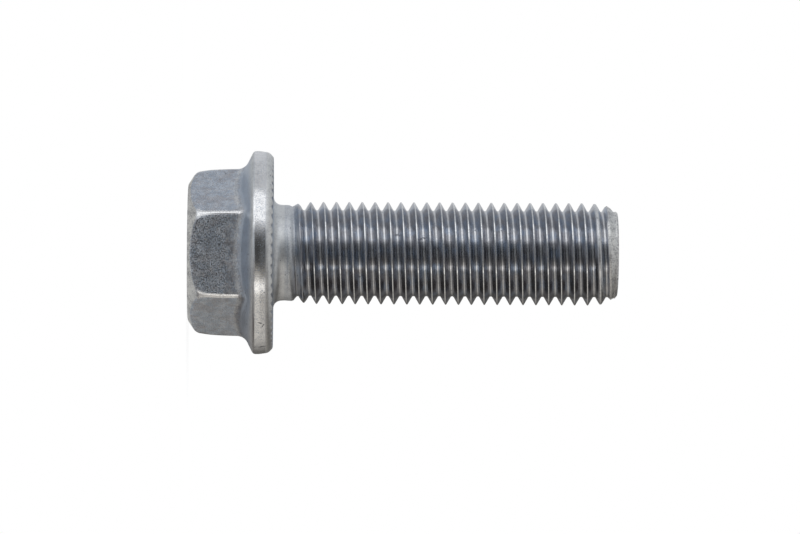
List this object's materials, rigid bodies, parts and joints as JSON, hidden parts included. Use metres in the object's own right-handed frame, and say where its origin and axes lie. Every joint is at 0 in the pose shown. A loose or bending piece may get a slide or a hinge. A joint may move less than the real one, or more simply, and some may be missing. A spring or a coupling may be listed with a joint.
{
  "type": "flange bolt",
  "caption": "Hexagon flange bolt with a serrated bearing face, a fully threaded shank and a chamfered point, for clamping parts without a separate washer.",
  "frame": {"origin": "centre of the head's flat top, which the bolt stands on", "axes": "+Z along the bolt's axis from the head towards the threaded end; +X through a corner of the hexagon; +Y square to a flat"},
  "size_m": [0.0237, 0.0236, 0.0499],
  "materials": {
    "zinc_plated_steel": "bright zinc plating over forged and rolled steel, faintly blue, grainy on the forged faces"
  },
  "bodies": {
    "root": {"flange_bolt": "zinc_plated_steel"}
  },
  "joints": []
}
